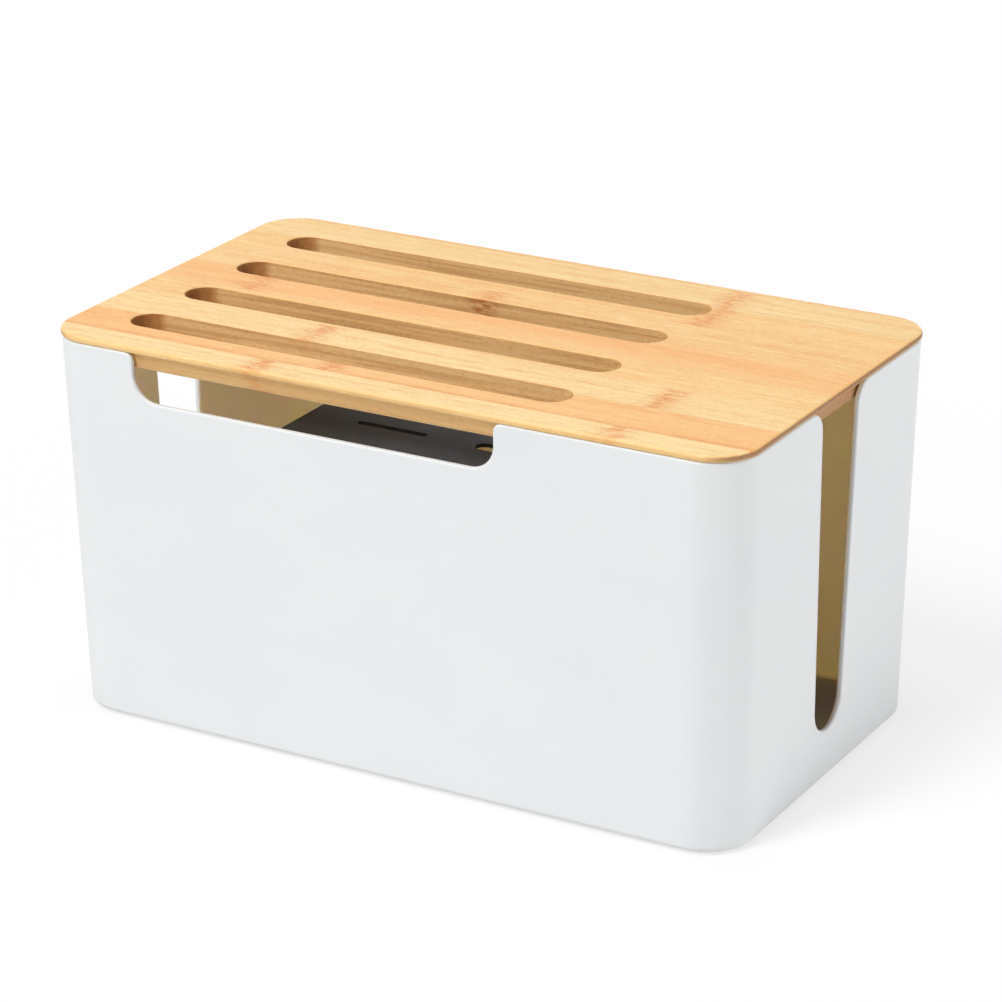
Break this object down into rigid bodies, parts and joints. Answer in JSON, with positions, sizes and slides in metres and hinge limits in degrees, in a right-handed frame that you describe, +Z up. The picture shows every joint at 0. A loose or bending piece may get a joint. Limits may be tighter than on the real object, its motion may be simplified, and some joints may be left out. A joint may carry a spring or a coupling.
{
  "type": "cable management box",
  "caption": "Lidded cable management box: drafted moulded shell with end cable slots and a front cut-out, slotted bamboo lid, lift-out inner shelf and rubber foot pads.",
  "frame": {"origin": "middle of the footprint, on the surface that the foot pads stand on", "axes": "+X along the length to the right end seen from the front, +Y to the back, +Z up"},
  "size_m": [0.32, 0.185, 0.1706],
  "materials": {
    "moulded_shell": "white moulded plastic, fine matt grain",
    "bamboo_pale": "pale bamboo strip, sanded and clear-lacquered",
    "bamboo_amber": "amber bamboo strip, sanded and clear-lacquered",
    "shelf_coat": "black powder coat",
    "foot_rubber": "grey rubber"
  },
  "bodies": {
    "box": {"box_shell": "moulded_shell", "foot_pad_front_left": "foot_rubber", "foot_pad_front_right": "foot_rubber", "foot_pad_back_left": "foot_rubber", "foot_pad_back_right": "foot_rubber"},
    "lid": {"lid_stave_1": "bamboo_pale", "lid_stave_2": "bamboo_amber", "lid_stave_3": "bamboo_pale", "lid_stave_4": "bamboo_pale", "lid_stave_5": "bamboo_amber", "lid_stave_6": "bamboo_pale", "lid_stave_7": "bamboo_pale", "lid_stave_8": "bamboo_pale", "lid_stave_9": "bamboo_amber"},
    "shelf": {"inner_shelf": "shelf_coat"}
  },
  "joints": [
    {"name": "lid_lift", "type": "slide", "parent": "box", "child": "lid", "axis": [0, 0, 1], "range_m": [0, 0.2]},
    {"name": "shelf_lift", "type": "slide", "parent": "box", "child": "shelf", "axis": [0, 0, 1], "range_m": [0, 0.043]}
  ]
}
